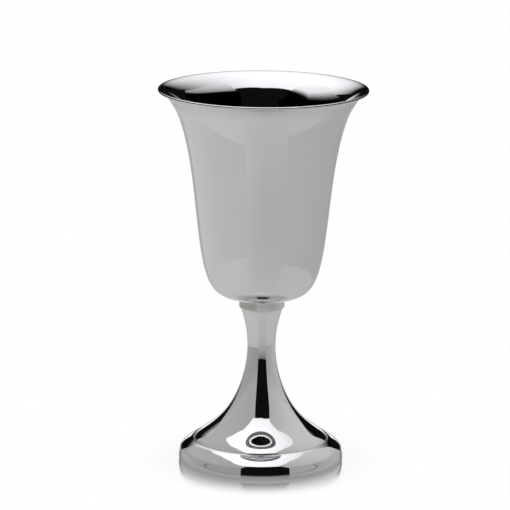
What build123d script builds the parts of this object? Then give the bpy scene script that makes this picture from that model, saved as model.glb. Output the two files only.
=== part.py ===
from build123d import *
import os
from math import comb, hypot

# Communion chalice: a spun cup on a trumpet foot, drawn together by a hidden rod and nut.
# Frame: millimetres, +Z up the chalice, origin at the centre of the foot's resting face.
# An outline is the outside of a wall, as the control points (radius, height) of one curve.

WALL = 1.0  # thickness of the spun metal

# Cup, from the centre of its underside to the lip
CUP_OUTLINE = [(0, 72.6), (24.1, 72.6), (21.6, 73.5), (35.9, 81.0), (20.6, 136.6), (38.9, 164), (45, 164)]

# Stem and trumpet foot in one spinning, from the top of the stem to the crease round the foot
FOOT_OUTLINE = [(9.3, 68.6), (1.3, 45.4), (9.7, 40.2), (8.1, 16.1), (24.8, 16.8), (29.2, 9.4)]

# Moulding applied round the foot: three curves from the crease down to the resting face
SHOULDER = [(29.2, 9.4), (29.2, 10.9), (32.9, 8.1), (34.4, 6.6)]
TURN = [(34.4, 6.6), (35.3, 5.7), (35.4, 5.1)]
SIDE = [(35.4, 5.1), (35.9, 2.0), (36.6, 0), (34.8, 0)]
MOULDING_INSIDE = [(34.3, 0), (34.7, 7.0), (32.6, 6.0), (28.7, 7.6)]  # from the lip it rests on
LEDGE = [(28.7, 7.6), (26.4, 9.7), (26.4, 11.4)]  # shelf under the foot's edge

# Wire that stiffens the resting edge
FOOT_WIRE_WIDTH = 2.6
FOOT_WIRE_HEIGHT = 2.2
FOOT_WIRE_ROUND = 0.5

# Collar between the stem and the cup
COLLAR_R = 9.9
COLLAR_BORE_R = 6.05
COLLAR_EDGE_ROUND = 0.25
SPIGOT_R = 7.3
SPIGOT_LENGTH = 2.2

# Boss brazed under the cup and tapped for the rod
BOSS_R = 6.0
BOSS_BASE_Z = 63.5
BOSS_HOLE_TOP_Z = 71.0

# Tie rod, M5
ROD_R = 2.5
ROD_BASE_Z = 15.0
ROD_CHAMFER = 0.4
THREAD_CLEARANCE = 0.05

# Disc that bears on the inside of the flare
DISC_BASE_Z = 24.0
DISC_THICKNESS = 3.0
DISC_HOLE_R = 2.75
HUB_R = 6.0
HUB_HEIGHT = 1.2

# M5 washer, spring washer and nut under the disc
WASHER_R = 5.0
WASHER_HOLE_R = 2.65
WASHER_THICKNESS = 1.0
WASHER_ROUND = 0.15
SPRING_R = 4.6
SPRING_HOLE_R = 2.6
SPRING_THICKNESS = 1.2
SPRING_GAP = 0.8
SPRING_SLANT = 20  # degrees that the split leans
NUT_FLAT_R = 4.0  # from the axis to a flat
NUT_HEIGHT = 4.4
NUT_BEVEL = 0.35  # how much of a corner's height the bevel takes
NUT_MOUTH = 0.4  # chamfer at each end of the thread

STEPS = 16  # points along an inner wall
FAR = 60  # beyond every radius of the foot and collar

STEM_TOP_Z = FOOT_OUTLINE[0][1]
LIP_R, LIP_Z = CUP_OUTLINE[-1]
WASHER_TOP_Z = DISC_BASE_Z - HUB_HEIGHT
SPRING_TOP_Z = WASHER_TOP_Z - WASHER_THICKNESS
NUT_TOP_Z = SPRING_TOP_Z - SPRING_THICKNESS


def curve_point(controls, t):
    """Point at t, from 0 to 1, on the curve with these control points."""
    n = len(controls) - 1
    shares = [comb(n, i) * t**i * (1 - t) ** (n - i) for i in range(n + 1)]
    return tuple(sum(share * point[k] for share, point in zip(shares, controls)) for k in (0, 1))


def inner_point(outline, t, side):
    """Point one wall's thickness from the outline; side is 1 left of its travel, -1 right of it."""
    slopes = [(b[0] - a[0], b[1] - a[1]) for a, b in zip(outline, outline[1:])]
    run, rise = curve_point(slopes, t)
    reach = side * WALL / hypot(run, rise)
    r, z = curve_point(outline, t)
    return (r - rise * reach, z + run * reach)


def inner_points(outline, side):
    """Points of the inner wall, from the outline's end back to its start."""
    return [inner_point(outline, 1 - i / STEPS, side) for i in range(STEPS + 1)]


def section(*lines):
    """Flat face on the XZ plane inside a closed run of lines drawn in (radius, height)."""
    return Plane.XZ * make_face([edge for line in lines for edge in line.edges()])


def block(low_r, high_r, low_z, high_z):
    """Rectangular section between two radii and two heights."""
    return section(Polyline((low_r, low_z), (high_r, low_z), (high_r, high_z), (low_r, high_z), close=True))


def ring(low_r, high_r, low_z, high_z):
    """Turned ring between two radii and two heights."""
    return revolve(block(low_r, high_r, low_z, high_z), Axis.Z)


def cup_section():
    inside = inner_points(CUP_OUTLINE, side=1)
    lip_edge = (LIP_R + WALL / 2, LIP_Z + WALL / 2)
    return section(
        Bezier(*CUP_OUTLINE),
        ThreePointArc(CUP_OUTLINE[-1], lip_edge, inside[0]),
        Spline(*inside),
        Line(inside[-1], CUP_OUTLINE[0]),
    )


def above_cup_underside():
    """Section of everything above the cup's outside, to shape what bears against it."""
    return section(Bezier(*CUP_OUTLINE), Polyline(CUP_OUTLINE[-1], (0, LIP_Z), CUP_OUTLINE[0]))


def foot_section():
    inside = inner_points(FOOT_OUTLINE, side=-1)
    walls = section(
        Bezier(*FOOT_OUTLINE),
        Line(FOOT_OUTLINE[-1], inside[0]),
        Spline(*inside),
        Line(inside[-1], FOOT_OUTLINE[0]),
    )
    return walls & block(0, FAR, 0, STEM_TOP_Z)


def foot_hollow():
    """Section of the space inside the stem and foot."""
    inside = inner_points(FOOT_OUTLINE, side=-1)
    return section(Spline(*inside), Polyline(inside[-1], (0, inside[-1][1]), (0, inside[0][1]), inside[0]))


def moulding_section():
    whole = section(
        Bezier(*SHOULDER),
        Bezier(*TURN),
        Bezier(*SIDE),
        Line(SIDE[-1], MOULDING_INSIDE[0]),
        Bezier(*MOULDING_INSIDE),
        Polyline(*LEDGE, SHOULDER[0]),
    )
    return whole - foot_section()


def cup():
    return revolve(cup_section(), Axis.Z)


def boss():
    blank = block(0, BOSS_R, BOSS_BASE_Z, LIP_Z) - above_cup_underside()
    hole = block(0, ROD_R + THREAD_CLEARANCE, BOSS_BASE_Z, BOSS_HOLE_TOP_Z)
    return revolve(blank - hole, Axis.Z)


def collar():
    band = block(COLLAR_BORE_R, COLLAR_R, STEM_TOP_Z, LIP_Z) - above_cup_underside()
    spigot = block(COLLAR_BORE_R, SPIGOT_R, STEM_TOP_Z - SPIGOT_LENGTH, STEM_TOP_Z)
    solid = revolve(band + spigot, Axis.Z)
    rim = solid.edges().filter_by(GeomType.CIRCLE).filter_by_position(Axis.Z, STEM_TOP_Z, STEM_TOP_Z)
    return fillet(rim.sort_by(SortBy.RADIUS)[-1], COLLAR_EDGE_ROUND)


def tie_rod():
    blank = Pos(0, 0, ROD_BASE_Z) * extrude(Circle(ROD_R), BOSS_HOLE_TOP_Z - ROD_BASE_Z)
    return chamfer(blank.edges().filter_by(GeomType.CIRCLE), ROD_CHAMFER)


def pressure_disc():
    plate = block(DISC_HOLE_R, FAR, DISC_BASE_Z, DISC_BASE_Z + DISC_THICKNESS) & foot_hollow()
    hub = block(DISC_HOLE_R, HUB_R, WASHER_TOP_Z, DISC_BASE_Z)
    return revolve(plate + hub, Axis.Z)


def flat_washer():
    blank = ring(WASHER_HOLE_R, WASHER_R, WASHER_TOP_Z - WASHER_THICKNESS, WASHER_TOP_Z)
    return fillet(blank.edges().filter_by(GeomType.CIRCLE).sort_by(SortBy.RADIUS)[-2:], WASHER_ROUND)


def spring_washer():
    coil = ring(SPRING_HOLE_R, SPRING_R, SPRING_TOP_Z - SPRING_THICKNESS, SPRING_TOP_Z)
    middle = ((SPRING_HOLE_R + SPRING_R) / 2, 0, SPRING_TOP_Z - SPRING_THICKNESS / 2)
    split = Pos(*middle) * Rot(SPRING_SLANT, 0, 0) * Box(2 * SPRING_R - 2 * SPRING_HOLE_R, SPRING_GAP, SPRING_R)
    return coil - split


def hex_nut():
    base_z = NUT_TOP_Z - NUT_HEIGHT
    blank = Pos(0, 0, base_z) * extrude(RegularPolygon(NUT_FLAT_R, 6, major_radius=False), NUT_HEIGHT)
    corner_r = NUT_FLAT_R * 2 / 3**0.5
    envelope = Pos(0, 0, base_z + NUT_HEIGHT / 2) * Cylinder(corner_r, NUT_HEIGHT)
    envelope = chamfer(envelope.edges().filter_by(GeomType.CIRCLE), NUT_BEVEL, corner_r - NUT_FLAT_R)
    thread = ring(0, ROD_R + THREAD_CLEARANCE, base_z, NUT_TOP_Z)
    body = (blank & envelope) - thread
    mouths = body.edges().filter_by(GeomType.CIRCLE).filter_by(lambda edge: edge.radius < NUT_FLAT_R / 1.5)
    return chamfer(mouths, NUT_MOUTH)


def foot_wire():
    lip_r = MOULDING_INSIDE[0][0]
    blank = ring(lip_r - FOOT_WIRE_WIDTH, lip_r, 0, FOOT_WIRE_HEIGHT)
    top_edge = blank.edges().filter_by(GeomType.CIRCLE).sort_by(SortBy.RADIUS)[:2].sort_by(Axis.Z)[-1]
    return fillet(top_edge, FOOT_WIRE_ROUND)


NODES = {
    "cup_bowl": cup,
    "cup_boss": boss,
    "stem_collar": collar,
    "trumpet_foot": lambda: revolve(foot_section(), Axis.Z),
    "foot_moulding": lambda: revolve(moulding_section(), Axis.Z),
    "foot_wire": foot_wire,
    "tie_rod": tie_rod,
    "pressure_disc": pressure_disc,
    "flat_washer": flat_washer,
    "spring_washer": spring_washer,
    "hex_nut": hex_nut,
}

os.makedirs("parts", exist_ok=True)
for node, make in NODES.items():
    export_step(make(), f"parts/{node}.step")
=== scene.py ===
import bpy
from math import atan2, comb, cos, degrees, hypot, pi, radians, sin
from mathutils import Matrix, Vector


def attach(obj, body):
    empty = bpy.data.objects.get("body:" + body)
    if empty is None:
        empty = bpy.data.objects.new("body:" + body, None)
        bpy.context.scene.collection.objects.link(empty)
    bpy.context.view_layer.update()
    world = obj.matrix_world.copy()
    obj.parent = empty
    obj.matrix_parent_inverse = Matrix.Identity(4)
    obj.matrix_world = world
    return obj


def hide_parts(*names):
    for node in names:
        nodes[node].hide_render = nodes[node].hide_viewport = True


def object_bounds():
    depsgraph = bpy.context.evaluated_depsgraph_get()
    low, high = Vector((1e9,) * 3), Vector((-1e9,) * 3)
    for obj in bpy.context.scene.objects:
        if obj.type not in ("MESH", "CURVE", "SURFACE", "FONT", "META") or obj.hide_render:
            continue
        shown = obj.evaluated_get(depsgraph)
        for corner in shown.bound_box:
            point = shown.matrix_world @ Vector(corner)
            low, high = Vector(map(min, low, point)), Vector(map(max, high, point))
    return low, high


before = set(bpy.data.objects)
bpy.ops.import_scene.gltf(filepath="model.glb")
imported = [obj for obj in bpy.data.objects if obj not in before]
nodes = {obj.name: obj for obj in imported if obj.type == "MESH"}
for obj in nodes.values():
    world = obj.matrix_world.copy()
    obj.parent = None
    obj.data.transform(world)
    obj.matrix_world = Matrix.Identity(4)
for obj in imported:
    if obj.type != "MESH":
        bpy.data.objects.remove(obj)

cadLow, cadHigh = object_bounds()
mm = 0.001
bpy.context.scene.view_settings.view_transform = "Standard"

cameraSetup = {
    "distance": 1.4527,
    "elevation": 13.34,  # degrees above the horizon
    "lean": 0.48,  # degrees, which makes the chalice lean to the right
    "lens": 235.7,
    "shift": (-0.0138, 0.0400),
}


def addCamera(setup):
    middle = Vector((0, 0, (cadLow.z + cadHigh.z) / 2))
    rise = radians(setup["elevation"])
    back = Vector((0, -cos(rise), sin(rise)))
    data = bpy.data.cameras.new("studioCamera")
    data.lens = setup["lens"]
    data.shift_x, data.shift_y = setup["shift"]
    data.clip_start, data.clip_end = 0.05, 20
    camera = bpy.data.objects.new("studioCamera", data)
    bpy.context.scene.collection.objects.link(camera)
    turn = (-back).to_track_quat("-Z", "Y").to_matrix() @ Matrix.Rotation(radians(setup["lean"]), 3, "Z")
    camera.location = middle + back * setup["distance"]
    camera.rotation_euler = turn.to_euler()
    bpy.context.scene.camera = camera


addCamera(cameraSetup)
print("camera ready")


class Socket:  # an output socket that takes part in sums
    def __init__(self, sheet, output):
        self.sheet, self.output = sheet, output

    def maths(self, operation, *others):
        return self.sheet.add("Math", {"operation": operation}, {i: v for i, v in enumerate((self, *others))})

    def __add__(self, other): return self.maths("ADD", other)
    def __radd__(self, other): return self.maths("ADD", other)
    def __mul__(self, other): return self.maths("MULTIPLY", other)
    def __rmul__(self, other): return self.maths("MULTIPLY", other)
    def __sub__(self, other): return self.maths("SUBTRACT", other)
    def __rsub__(self, other): return self.sheet.add("Math", {"operation": "SUBTRACT"}, {0: other, 1: self})
    def __truediv__(self, other): return self.maths("DIVIDE", other)
    def __pow__(self, other): return self.maths("POWER", other)
    def __abs__(self): return self.maths("ABSOLUTE")
    def between(self, low, high): return self.sheet.ramp(self, low, high)


class Finish:  # a material and the nodes added to it
    def __init__(self, name):
        self.material = bpy.data.materials.new(name)
        self.material.use_nodes = True
        self.tree = self.material.node_tree
        self.tree.nodes.clear()
        self.out = self.tree.nodes.new("ShaderNodeOutputMaterial")

    def add(self, kind, settings=None, values=None, output=0):
        node = self.tree.nodes.new("ShaderNode" + kind)
        for key, value in (settings or {}).items():
            setattr(node, key, value)
        for key, value in (values or {}).items():
            if isinstance(value, Socket):
                self.tree.links.new(value.output, node.inputs[key])
            else:
                node.inputs[key].default_value = value
        return Socket(self, node.outputs[output])

    def place(self):
        return self.add("TexCoord", output="Object")

    def parts(self, vector):  # its x, y and z
        split = self.add("SeparateXYZ", values={0: vector}).output.node
        return [Socket(self, output) for output in split.outputs]

    def join(self, x, y, z):
        return self.add("CombineXYZ", values={0: x, 1: y, 2: z})

    def ramp(self, value, low, high):  # 0 at low, 1 at high, smooth between
        return self.add(
            "MapRange",
            {"interpolation_type": "SMOOTHSTEP"},
            {"Value": value, "From Min": low, "From Max": high},
        )

    def noise(self, vector, scale, detail=2.0):
        return self.add("TexNoise", {}, {"Vector": vector, "Scale": scale, "Detail": detail})

    def blend(self, share, first, second):
        values = {"Factor": share, 6: first, 7: second}
        return self.add("Mix", {"data_type": "RGBA"}, values, output=2)

    def bump(self, height, relief):
        strength, depth = relief
        return self.add("Bump", {}, {"Height": height, "Strength": strength, "Distance": depth * mm})

    def surface(self, shader):
        self.tree.links.new(shader.output, self.out.inputs["Surface"])
        return self.material

    def metal(self, colour, roughness, normal):
        values = {"Base Color": colour, "Metallic": 1.0, "Roughness": roughness, "Normal": normal}
        return self.surface(self.add("BsdfPrincipled", {}, values))


silver = {
    "bright": (0.888, 0.889, 0.918, 1),
    # the tarnish tint is also the colour of the painted shade at the joints, over the collar band and on the
    # lip edge
    "tarnish": (0.74, 0.72, 0.67, 1),
    "polish": 0.030,  # roughness where it is cleanest
    "smear": 0.030,  # what wiping adds to it
    "hairline": 0.030,  # what one fine scratch adds
    "hairlineWidth": 0.006,
    "line": 0.02,  # what one turning line adds
    "spotDull": 0.12,
    "underLip": 0.45,
    "underLipTilt": (0.30, 0.60),  # how far a face looks down, from the start to full
    "underLipHeight": (0.150, 0.158),
    "cloudScale": 38.0,
    "waveScale": 55.0,
    "reach": 1.6,  # mm that the painted shade spreads from each spot
    "relief": (0.06, 0.02),  # bump strength, and its depth in mm
    "shadeSpots": ((29.3, 9.4), (9.9, 72.7), (9.9, 70.6), (9.5, 68.6), (45.2, 164.2)),  # radius, height in mm of each painted shade spot: the joints, the collar band and the lip edge
}
hollowSilver = {
    "bright": (0.80, 0.79, 0.76, 1),
    "tarnish": (0.62, 0.58, 0.50, 1),
    "polish": 0.24,
    "ridge": 0.18,  # what the spinning ridges add to the roughness
    "stain": 0.12,
    "ridgeScale": 900.0,
    "stainScale": 60.0,
    "relief": (0.35, 0.03),
}
turnedBrass = {
    "bright": (0.74, 0.57, 0.29, 1),
    "tarnish": (0.46, 0.33, 0.16, 1),
    "polish": 0.26,
    "groove": 0.16,
    "stain": 0.16,
    "grooveScale": 3200.0,
    "stainScale": 160.0,
    "relief": (0.5, 0.02),
}
zincSteel = {
    "bright": (0.66, 0.67, 0.69, 1),
    "yellow": (0.62, 0.60, 0.50, 1),
    "polish": 0.28,
    "grain": 0.14,
    "patch": 0.08,
    "grainScale": 1500.0,
    "patchScale": 240.0,
    "relief": (0.25, 0.02),
}


def roundPlace(finish):
    # radius and height of each point in metres, and its place round the axis in turns
    x, y, z = finish.parts(finish.place())
    radius = (x * x + y * y) ** 0.5
    turn = x.maths("ARCTAN2", y) * (1 / (2 * pi))
    return radius, z, turn


def spotMask(finish, radius, z, spots, reach):
    # 1 on a spot, fading to 0 at reach from it
    mask = None
    for r, h in spots:
        near = ((radius - r * mm) ** 2.0 + (z - h * mm) ** 2.0) ** 0.5
        part = 1 - near.between(0.0, reach)
        mask = part if mask is None else mask.maths("MAXIMUM", part)
    return mask


def makeSilver():
    finish = Finish("mirrorSilver")
    radius, z, turn = roundPlace(finish)
    place = finish.place()
    cloud = finish.noise(place, silver["cloudScale"], 4.0).between(0.35, 0.75)
    smear = finish.noise(finish.join(radius * 60.0, turn * 9.0, z * 90.0), 1.0, 5.0).between(0.42, 0.80)
    lines = finish.noise(finish.join(radius * 2600.0, turn * 3.0, z * 2600.0), 1.0, 2.0).between(0.62, 0.78)
    winding = finish.join(turn * 160.0 + z * 2400.0, turn * 40.0 - z * 90.0, radius * 40.0)
    slant = finish.noise(winding, 1.0, 1.0)
    hairline = 1 - abs(slant - 0.5).between(0.0, silver["hairlineWidth"])
    shadeMask = spotMask(finish, radius, z, silver["shadeSpots"], silver["reach"] * mm)
    facing = finish.parts(finish.add("NewGeometry", output=1))[2]
    underLip = (0 - facing).between(*silver["underLipTilt"])  # where the mop hardly reaches
    underLip = underLip * z.between(*silver["underLipHeight"])
    # painted shade: the colour darkens toward the tarnish tint at the joints, over the collar band and on the
    # lip edge
    colour = finish.blend(shadeMask * 0.65 + cloud * 0.05, silver["bright"], silver["tarnish"])
    roughness = silver["polish"] + smear * silver["smear"] + hairline * silver["hairline"]
    roughness = roughness + lines * silver["line"] + shadeMask * silver["spotDull"]
    roughness = roughness + underLip * silver["underLip"]
    wave = finish.noise(place, silver["waveScale"], 1.0)
    height = wave + lines * 0.010 + hairline * 0.004
    return finish.metal(colour, roughness, finish.bump(height, silver["relief"]))


def makeHollowSilver():
    finish = Finish("spunSilverInside")
    radius, z, turn = roundPlace(finish)
    scale = hollowSilver["ridgeScale"]
    ridge = finish.noise(finish.join(radius * scale, turn * 2.0, z * scale), 1.0, 3.0)
    stain = finish.noise(finish.place(), hollowSilver["stainScale"], 5.0).between(0.45, 0.72)
    colour = finish.blend(stain * 0.6, hollowSilver["bright"], hollowSilver["tarnish"])
    roughness = hollowSilver["polish"] + ridge * hollowSilver["ridge"] + stain * hollowSilver["stain"]
    return finish.metal(colour, roughness, finish.bump(ridge, hollowSilver["relief"]))


def makeBrass():
    finish = Finish("turnedBrass")
    radius, z, turn = roundPlace(finish)
    scale = turnedBrass["grooveScale"]
    groove = finish.noise(finish.join(radius * scale, turn * 1.5, z * scale), 1.0, 2.0)
    stain = finish.noise(finish.place(), turnedBrass["stainScale"], 5.0).between(0.42, 0.74)
    colour = finish.blend(stain * 0.75, turnedBrass["bright"], turnedBrass["tarnish"])
    roughness = turnedBrass["polish"] + groove * turnedBrass["groove"] + stain * turnedBrass["stain"]
    return finish.metal(colour, roughness, finish.bump(groove, turnedBrass["relief"]))


def makeZinc():
    finish = Finish("zincPlate")
    place = finish.place()
    grain = finish.noise(place, zincSteel["grainScale"], 3.0)
    patch = finish.noise(place, zincSteel["patchScale"], 4.0).between(0.40, 0.70)
    colour = finish.blend(patch, zincSteel["bright"], zincSteel["yellow"])
    roughness = zincSteel["polish"] + grain * zincSteel["grain"] + patch * zincSteel["patch"]
    return finish.metal(colour, roughness, finish.bump(grain, zincSteel["relief"]))


mirrorSilver = makeSilver()
spunSilver = makeHollowSilver()
brassFinish = makeBrass()
zincFinish = makeZinc()
print("finishes ready")


def curvePoint(controls, t):
    last = len(controls) - 1
    shares = [comb(last, i) * t**i * (1 - t) ** (last - i) for i in range(last + 1)]
    return tuple(sum(share * spot[k] for share, spot in zip(shares, controls)) for k in (0, 1))


def curveRun(controls, count, offset=0.0):
    # radius and height along one curve; offset moves it to the left of its travel
    slopes = [(b[0] - a[0], b[1] - a[1]) for a, b in zip(controls, controls[1:])]
    run = []
    for i in range(count + 1):
        r, z = curvePoint(controls, i / count)
        across, rise = curvePoint(slopes, i / count)
        size = hypot(across, rise)
        run.append((r - rise / size * offset, z + across / size * offset))
    return run


def arcRun(middle, radius, start, end, count):
    # angles in degrees from the outward direction
    turns = [radians(start + (end - start) * i / count) for i in range(count + 1)]
    return [(middle[0] + radius * cos(a), middle[1] + radius * sin(a)) for a in turns]


def clearSelection():
    if bpy.context.object and bpy.context.object.mode != "OBJECT":
        bpy.ops.object.mode_set(mode="OBJECT")
    bpy.ops.object.select_all(action="DESELECT")


def drawProfile(name, profile):
    # one vertex drawn out point by point into a profile of (radius, height) in mm
    clearSelection()
    bpy.ops.mesh.primitive_plane_add(size=mm)
    piece = bpy.context.object
    piece.name = piece.data.name = name
    bpy.ops.object.mode_set(mode="EDIT")
    bpy.context.tool_settings.mesh_select_mode = (True, False, False)
    bpy.ops.mesh.select_all(action="SELECT")
    bpy.ops.mesh.merge(type="CENTER")
    spots = [Vector((r, 0, z)) * mm for r, z in profile]
    bpy.ops.transform.translate(value=spots[0])
    for here, there in zip(spots, spots[1:]):
        bpy.ops.mesh.extrude_vertices_move(TRANSFORM_OT_translate={"value": there - here})
    return piece


def closeUp():
    bpy.ops.mesh.select_all(action="SELECT")
    bpy.ops.mesh.remove_doubles(threshold=0.002 * mm)
    bpy.ops.mesh.normals_make_consistent(inside=False)
    bpy.ops.object.mode_set(mode="OBJECT")


def turnOnLathe(name, profile, steps, smoothTo=30):
    piece = drawProfile(name, profile)
    bpy.ops.mesh.select_all(action="SELECT")
    bpy.ops.mesh.spin(steps=steps, angle=2 * pi, center=(0, 0, 0), axis=(0, 0, 1))
    closeUp()
    bpy.ops.object.shade_smooth_by_angle(angle=radians(smoothTo))
    return piece


def dress(piece, materials, replaced):
    for material in materials:
        piece.data.materials.append(material)
    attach(piece, "root")
    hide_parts(replaced)


wall = 1.0  # mm, as every size of a shape
cupShape = {
    "outside": [(0, 72.6), (24.1, 72.6), (21.6, 73.5), (35.9, 81.0), (20.6, 136.6), (38.9, 164), (45, 164)],
    "rings": 120,
    "turns": 256,
}
footShape = {
    "outside": [(9.3, 68.6), (1.3, 45.4), (9.7, 40.2), (8.1, 16.1), (24.8, 16.8), (29.2, 9.4)],
    "rings": 130,
    "insideRings": 48,
    "turns": 256,
}
mouldingShape = {
    "shoulder": [(29.2, 9.4), (29.2, 10.9), (32.9, 8.1), (34.4, 6.6)],
    "turn": [(34.4, 6.6), (35.3, 5.7), (35.4, 5.1)],
    "side": [(35.4, 5.1), (35.9, 2.0), (36.6, 0), (34.8, 0)],
    "inside": [(34.3, 0), (34.7, 7.0), (32.6, 6.0), (28.7, 7.6)],
    "ledge": [(26.4, 9.7), (26.4, 11.0)],
    "turns": 256,
}
collarShape = {"radius": 9.9, "bore": 6.05, "base": 68.6, "spigot": 7.3, "spigotEnd": 66.4, "edge": 0.25}


def makeCup():
    shape = cupShape
    lipR, lipZ = shape["outside"][-1]
    outside = curveRun(shape["outside"], shape["rings"])
    inside = curveRun(shape["outside"], shape["rings"], wall)
    lip = arcRun((lipR, lipZ + wall / 2), wall / 2, -90, 90, 14)
    cup = turnOnLathe("cupBowl", outside[:-1] + lip + inside[-2::-1], shape["turns"])
    dress(cup, [mirrorSilver], "cup_bowl")
    return cup


def footInside():
    shape = footShape
    top = shape["outside"][0][1]
    return [(r, min(z, top)) for r, z in curveRun(shape["outside"], shape["insideRings"], -wall)]


def dullInside(piece, isInside):
    # the second finish goes on the faces that look into the hollow
    for face in piece.data.polygons:
        radius = hypot(face.center.x, face.center.y)
        outward = (face.normal.x * face.center.x + face.normal.y * face.center.y) / max(radius, 1e-6)
        if isInside(radius / mm, face.center.z / mm, outward, face.normal.z):
            face.material_index = 1


def makeFoot():
    shape = footShape
    outside = curveRun(shape["outside"], shape["rings"])
    inside = footInside()
    profile = outside + inside[::-1] + outside[:1]
    foot = turnOnLathe("trumpetFoot", profile, shape["turns"])
    dress(foot, [mirrorSilver, spunSilver], "trumpet_foot")
    dullInside(foot, lambda r, z, outward, up: outward < 0 or up < -0.5)
    return foot


def makeMoulding():
    shape = mouldingShape
    outside = curveRun(shape["shoulder"], 40)
    outside += curveRun(shape["turn"], 28)[1:] + curveRun(shape["side"], 40)[1:]
    inside = curveRun(shape["inside"], 24)
    ledgeR = shape["ledge"][0][0]
    seat = [spot for spot in footInside() if spot[0] > ledgeR]
    profile = outside + inside + shape["ledge"] + seat + outside[:1]
    moulding = turnOnLathe("footMoulding", profile, shape["turns"])
    dress(moulding, [mirrorSilver, spunSilver], "foot_moulding")
    dullInside(moulding, lambda r, z, outward, up: r < 34.4 and (outward < 0 or up < 0))
    return moulding


def makeCollar():
    shape = collarShape
    under = [spot for spot in curveRun(cupShape["outside"], 400) if shape["bore"] < spot[0] < shape["radius"]]
    profile = [
        (shape["bore"], shape["spigotEnd"]),
        (shape["spigot"], shape["spigotEnd"]),
        (shape["spigot"], shape["base"]),
    ]
    edge = (shape["radius"] - shape["edge"], shape["base"] + shape["edge"])
    profile += arcRun(edge, shape["edge"], -90, 0, 8)
    profile += [(shape["radius"], under[-1][1])] + under[::-1]
    profile += [(shape["bore"], under[0][1]), profile[0]]
    collar = turnOnLathe("stemCollar", profile, 192)
    dress(collar, [mirrorSilver], "stem_collar")
    return collar


cupPiece = makeCup()
footPieces = [makeFoot(), makeMoulding(), makeCollar()]
print("silver shells ready")

wireShape = {"inner": 31.7, "outer": 34.3, "height": 2.2, "round": 0.5}
discShape = {"hole": 2.75, "hub": 6.0, "hubBase": 22.8, "base": 24.0, "top": 27.0, "edge": 0.3}
rodShape = {"radius": 2.5, "core": 2.05, "pitch": 0.8, "base": 15.0, "top": 71.0, "point": 0.4, "steps": 40}


def makeWire():
    shape = wireShape
    inner, outer, soft = shape["inner"], shape["outer"], shape["round"]
    profile = [(outer, 0), (outer, shape["height"])]
    profile += arcRun((inner + soft, shape["height"] - soft), soft, 90, 180, 8)
    profile += arcRun((inner + 0.15, 0.15), 0.15, 180, 270, 4)
    wire = turnOnLathe("footWire", profile + profile[:1], 192)
    dress(wire, [spunSilver], "foot_wire")


def makeDisc():
    shape = discShape
    wallSpots = sorted(footInside(), key=lambda spot: spot[1])
    rim = [spot for spot in wallSpots if shape["base"] < spot[1] < shape["top"] and spot[0] > shape["hub"]]
    hole, hub, edge = shape["hole"], shape["hub"], shape["edge"]
    profile = [(hole, shape["top"]), (hole, shape["hubBase"] + edge), (hole + edge, shape["hubBase"])]
    profile += arcRun((hub - edge, shape["hubBase"] + edge), edge, -90, 0, 6)
    profile += [(hub, shape["base"]), (rim[0][0], shape["base"])] + rim + [(rim[-1][0], shape["top"])]
    disc = turnOnLathe("pressureDisc", profile + profile[:1], 128)
    dress(disc, [brassFinish], "pressure_disc")


def applyModifier(piece, kind, settings):
    clearSelection()
    bpy.context.view_layer.objects.active = piece
    piece.select_set(True)
    modifier = piece.modifiers.new(kind.lower(), kind)
    for key, value in settings.items():
        setattr(modifier, key, value)
    bpy.ops.object.modifier_apply(modifier=modifier.name)


def makeRod():
    # one groove of the thread, wound up the rod and cut square at both ends
    shape = rodShape
    pitch, crest, core = shape["pitch"], shape["radius"], shape["core"]
    low = shape["base"] - 2 * pitch
    groove = [(core, low), (crest, low + 0.40 * pitch), (crest, low + 0.60 * pitch), (core, low + pitch)]
    rod = drawProfile("tieRod", groove)
    bpy.ops.object.mode_set(mode="OBJECT")
    turns = int((shape["top"] - shape["base"]) / pitch) + 4
    applyModifier(rod, "SCREW", {
        "axis": "Z", "screw_offset": pitch * mm, "iterations": turns, "steps": shape["steps"],
        "render_steps": shape["steps"], "use_merge_vertices": True, "merge_threshold": 0.001 * mm,
    })
    bpy.ops.object.mode_set(mode="EDIT")
    for height, facing in ((shape["base"], -1), (shape["top"], 1)):
        bpy.ops.mesh.select_all(action="SELECT")
        bpy.ops.mesh.bisect(
            plane_co=(0, 0, height * mm), plane_no=(0, 0, facing), use_fill=True, clear_outer=True
        )
    closeUp()
    bpy.ops.object.shade_smooth_by_angle(angle=radians(25))
    dress(rod, [zincFinish], "tie_rod")


def dressNode(name, material):
    # a CAD piece keeps its shape and takes a finish
    piece = nodes[name]
    piece.data.materials.clear()
    piece.data.materials.append(material)


makeWire()
makeDisc()
makeRod()
for name in ("flat_washer", "spring_washer", "hex_nut"):
    dressNode(name, zincFinish)
dressNode("cup_boss", brassFinish)
print("hidden fittings ready")


def shown(level):  # the light that shows as this tone, 0 to 255
    share = level / 255
    return share / 12.92 if share <= 0.04045 else ((share + 0.055) / 1.055) ** 2.4


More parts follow.
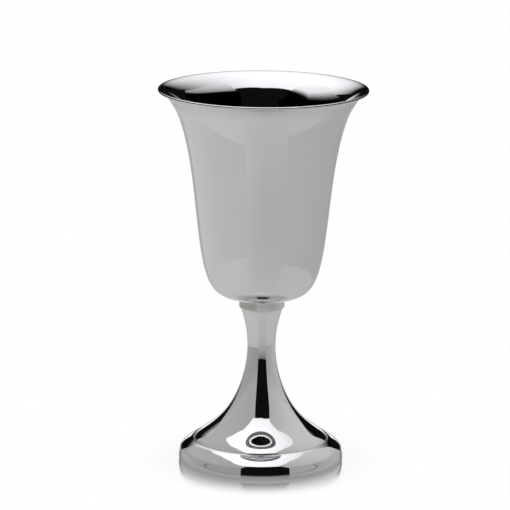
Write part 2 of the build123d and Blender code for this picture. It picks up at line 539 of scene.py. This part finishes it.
studio = {
    "mirror": 0.89,  # what the silver gives back of the light it is shown
    "room": 1.12,
    "dark": 13,  # tone of the unlit room
    "roomRadius": 6,
}
overhead = {
    "height": 0.575,
    "outline": [
        (-0.72, -0.25), (-0.48, -0.293), (0, -0.362), (0.56, -0.228), (0.66, 0.05), (0.71, 0.40),
        (0.76, 1.20), (0.80, 1.80), (-0.98, 1.80), (-0.93, 1.15), (-0.83, 0.0),
    ],
    "peak": 1.16,
    "fade": (0.95, 1.75),  # distances to the right and to the back at which it has faded out
    "leftDim": (0.45, 0.95, 0.5),  # from and to this far left, and how much
}
cards = {  # "tones" and "table" are for the front and the back of a card
    "left": {
        "radius": 0.20, "turns": (-138, -25),
        "tops": [
            (-138, 0.215), (-122, 0.255), (-112, 0.325), (-80, 0.430), (-55, 0.385),
            (-35, 0.305), (-25, 0.290),
        ],
        "tones": (147, 156), "tint": (0.99, 1.01, 0.965),
        "table": (178, 190), "sky": (0.265, -0.26, -0.050, 0.60), "step": 0, "rise": 0.92, "haze": 0.18,
    },
    "right": {
        "radius": 0.18, "turns": (37, 138),
        "tops": [
            (37, 0.290), (45, 0.330), (60, 0.380), (80, 0.400), (100, 0.330),
            (114, 0.285), (138, 0.240),
        ],
        "tones": (155, 178), "tint": (1, 1, 0.975),
        "table": (172, 163), "sky": (0.287, -0.40, -0.200, 0), "step": 0.25, "rise": 0.38, "haze": 0.36,
    },
    "lift": (0.050, 0.105, 0.22),  # from and to this height, and how much brighter above it
    "tableHeight": (0.075, 0.135),  # where the table in the veils fades out
    "steps": 40,
}
backdrop = {"y": 1.04, "left": -0.30, "right": 0.30, "top": 0.12, "tone": 252}
table = {
    "left": -0.9, "right": 0.9, "front": -0.75, "back": 1.60, "level": -0.0002,
    "leftTone": 192, "rightTone": 182, "backTone": 254,
    "across": (-0.17, 0.03),  # where the left tone turns into the right one
    # painted shadow round the foot: it fades out between these distances, and this share of the light is left
    # in it
    "behind": (2.6, 0.12),  # slope of the bright wedge behind the chalice, and its soft edge
    "footShadowFade": (0.034, 0.056), "footShadowShare": 0.62,
    "roughness": 0.05, "gloss": 1.6,
}
floor = {
    "reach": 3, "light": 0.985, "mirror": 0.85, "mirrorFade": (0.0345, 0.059), "roughness": 0.16,
    "glowRadius": 0.165, "glow": 1.12,
}


def lightTone(tone):
    return shown(tone) / studio["mirror"]


def addSurface(name, corners, material, camera=False):
    # a flat sheet with these corners, in order
    clearSelection()
    bpy.ops.mesh.primitive_circle_add(vertices=len(corners), radius=1, fill_type="NGON")
    sheet = bpy.context.object
    sheet.name = sheet.data.name = name
    for vertex, corner in zip(sheet.data.vertices, corners):
        vertex.co = corner
    sheet.data.materials.append(material)
    sheet.visible_camera = sheet.visible_diffuse = camera
    sheet.visible_glossy = not camera
    sheet.visible_shadow = sheet.visible_transmission = False
    return sheet


def hideFromCamera(thing):
    thing.visible_camera = thing.visible_diffuse = False
    thing.visible_shadow = thing.visible_transmission = False


def topAt(tops, turn):
    turn = min(max(turn, tops[0][0]), tops[-1][0])
    for (turnA, topA), (turnB, topB) in zip(tops, tops[1:]):
        if turnA <= turn <= turnB:
            return topA + (topB - topA) * (turn - turnA) / (turnB - turnA)


def addCurvedCard(name, card, inset, material):
    # an upright line swung round the chalice; turns are degrees from the camera's side
    radius, (start, end) = card["radius"] / mm - inset, card["turns"]
    sheet = drawProfile(name, [(radius, 0), (radius, radius)])
    bpy.ops.mesh.select_all(action="SELECT")
    bpy.ops.mesh.spin(steps=cards["steps"], angle=radians(end - start), center=(0, 0, 0), axis=(0, 0, 1))
    bpy.ops.object.mode_set(mode="OBJECT")
    firstTurn = end if sheet.data.vertices[-1].co.y < 0 else start
    sheet.data.transform(Matrix.Rotation(radians(firstTurn - 90), 4, "Z"))
    for vertex in sheet.data.vertices:
        if vertex.co.z > 0:  # the top edge
            vertex.co.z = topAt(card["tops"], degrees(atan2(vertex.co.x, -vertex.co.y)))
    sheet.data.materials.append(material)
    hideFromCamera(sheet)
    return sheet


def overheadLight():
    finish = Finish("softboxLight")
    x, y, z = finish.parts(finish.place())
    reachX, reachY = overhead["fade"]
    right = x.maths("MAXIMUM", 0.0) / reachX
    back = (y - 0.05) / reachY
    far = (right * right + back * back) ** 0.5
    dimFrom, dimTo, dimmed = overhead["leftDim"]
    strength = (1 - far.between(0.0, 1.0)) * (1 - (0.0 - x).between(dimFrom, dimTo) * dimmed)
    strength = strength * overhead["peak"]
    return finish.surface(finish.add("Emission", {}, {"Strength": strength}))


def cardLight(side):
    card = cards[side]
    finish = Finish(side + "CardLight")
    x, y, z = finish.parts(finish.place())
    front, back = (lightTone(tone) for tone in card["tones"])
    strength = front + y.between(-card["radius"], card["radius"]) * (back - front)
    liftFrom, liftTo, lift = cards["lift"]
    strength = strength * (1 + z.between(liftFrom, liftTo) * lift)
    return finish.surface(finish.add("Emission", {}, {"Color": (*card["tint"], 1), "Strength": strength}))


def veilLight(finish, strength):
    # light with no surface, so what lies behind it still shows
    light = finish.add("Emission", {}, {"Strength": strength})
    return finish.surface(finish.add("AddShader", {}, {0: light, 1: finish.add("BsdfTransparent")}))


def cupVeil(side):
    # what the cup alone sees in front of a card: more of the table, then the dark, then the softbox
    card = cards[side]
    finish = Finish(side + "VeilLight")
    x, y, z = finish.parts(finish.place())
    front, back = (lightTone(tone) for tone in card["table"])
    tone = front + y.between(-card["radius"], card["radius"]) * (back - front)
    low = (1 - z.between(*cards["tableHeight"])) * tone
    edge, lean, bend, slope = card["sky"]  # its height at y 0, its slope, and where and how much that grows
    above = z - y * lean - (bend - y).maths("MAXIMUM", 0.0) * slope - edge
    high = above.between(-0.004, 0.004) * card["step"] + above.between(-0.010, 0.050) * card["rise"]
    high = high + above.between(0.040, 0.130) * card["haze"]
    return veilLight(finish, low + high)


def tableLight():
    # white acrylic: lit from within as the mirror sees it, with a gloss that grows at low angles
    finish = Finish("tableAcrylic")
    x, y, z = finish.parts(finish.place())
    left, right, back = (lightTone(table[key]) for key in ("leftTone", "rightTone", "backTone"))
    strength = left + x.between(*table["across"]) * (right - left)
    slope, softness = table["behind"]
    strength = strength + (y - abs(x) * slope).between(0.0, softness) * (back - right)
    # painted shadow: the table as the mirror sees it is darker close to the foot, as if the foot shaded it
    footShadowFade = ((x * x + y * y) ** 0.5).between(*table["footShadowFade"])
    strength = strength * (table["footShadowShare"] + footShadowFade * (1 - table["footShadowShare"]))
    light = finish.add("Emission", {}, {"Strength": strength})
    gloss = finish.add("BsdfGlossy", {}, {"Roughness": table["roughness"]})
    share = finish.add("Fresnel", {}, {"IOR": table["gloss"]})
    return finish.surface(finish.add("MixShader", {}, {0: share, 1: light, 2: gloss}))


def plainLight(name, tone):
    finish = Finish(name)
    return finish.surface(finish.add("Emission", {}, {"Strength": lightTone(tone)}))


def rectangle(x, y, z):
    # corners of a rectangle that is level, or upright with one y
    if isinstance(z, tuple):
        return [(x[0], y, z[0]), (x[1], y, z[0]), (x[1], y, z[1]), (x[0], y, z[1])]
    return [(x[0], y[0], z), (x[1], y[0], z), (x[1], y[1], z), (x[0], y[1], z)]


def lightOnly(sheet, receivers):
    # the card is placed for these pieces alone
    group = bpy.data.collections.new(sheet.name + "Receivers")
    for piece in receivers:
        group.objects.link(piece)
    sheet.light_linking.receiver_collection = group


def addSphere(name, radius, material):
    clearSelection()
    bpy.ops.mesh.primitive_uv_sphere_add(segments=32, ring_count=16, radius=radius)
    sphere = bpy.context.object
    sphere.name = sphere.data.name = name
    sphere.data.materials.append(material)
    hideFromCamera(sphere)
    return sphere


def addRoom():
    addSphere("darkRoom", studio["roomRadius"], plainLight("darkRoomTone", studio["dark"]))
    world = bpy.data.worlds.new("studioRoom")
    world.use_nodes = True
    background = world.node_tree.nodes["Background"]
    background.inputs["Color"].default_value = (1, 1, 1, 1)
    background.inputs["Strength"].default_value = studio["room"]
    world.cycles_visibility.glossy = False
    bpy.context.scene.world = world


def addFloor():
    # white acrylic that mirrors the foot close to where it stands
    finish = Finish("paleAcrylic")
    x, y, z = finish.parts(finish.place())
    haze = finish.noise(finish.place(), 40.0, 3.0)
    share = 1 - ((x * x + y * y) ** 0.5).between(*floor["mirrorFade"])
    light = finish.add("Emission", {}, {"Strength": floor["light"] + haze * 0.02})
    gloss = finish.add("BsdfGlossy", {}, {"Roughness": floor["roughness"]})
    material = finish.surface(finish.add("MixShader", {}, {0: share * floor["mirror"], 1: light, 2: gloss}))
    reach = (-floor["reach"], floor["reach"])
    paleFloor = addSurface("paleFloor", rectangle(reach, reach, table["level"]), material, camera=True)
    glowLight = veilLight(Finish("floorGlowLight"), floor["glow"])
    lightOnly(addSphere("floorGlow", floor["glowRadius"], glowLight), [paleFloor])


def buildStudio():
    height = overhead["height"]
    addSurface("overheadSoftbox", [(x, y, height) for x, y in overhead["outline"]], overheadLight())
    corners = rectangle((table["left"], table["right"]), (table["front"], table["back"]), table["level"] * 2)
    reflected = addSurface("tableReflected", corners, tableLight())
    for side in ("left", "right"):
        card = cards[side]
        lightOnly(addCurvedCard(side + "Card", card, 0, cardLight(side)), footPieces + [reflected])
        lightOnly(addCurvedCard(side + "Veil", card, 0.02, cupVeil(side)), [cupPiece])  # just inside its card
    corners = rectangle((backdrop["left"], backdrop["right"]), backdrop["y"], (0, backdrop["top"]))
    addSurface("backdrop", corners, plainLight("backdropLight", backdrop["tone"]))
    addFloor()
    addRoom()


buildStudio()
print("studio ready")
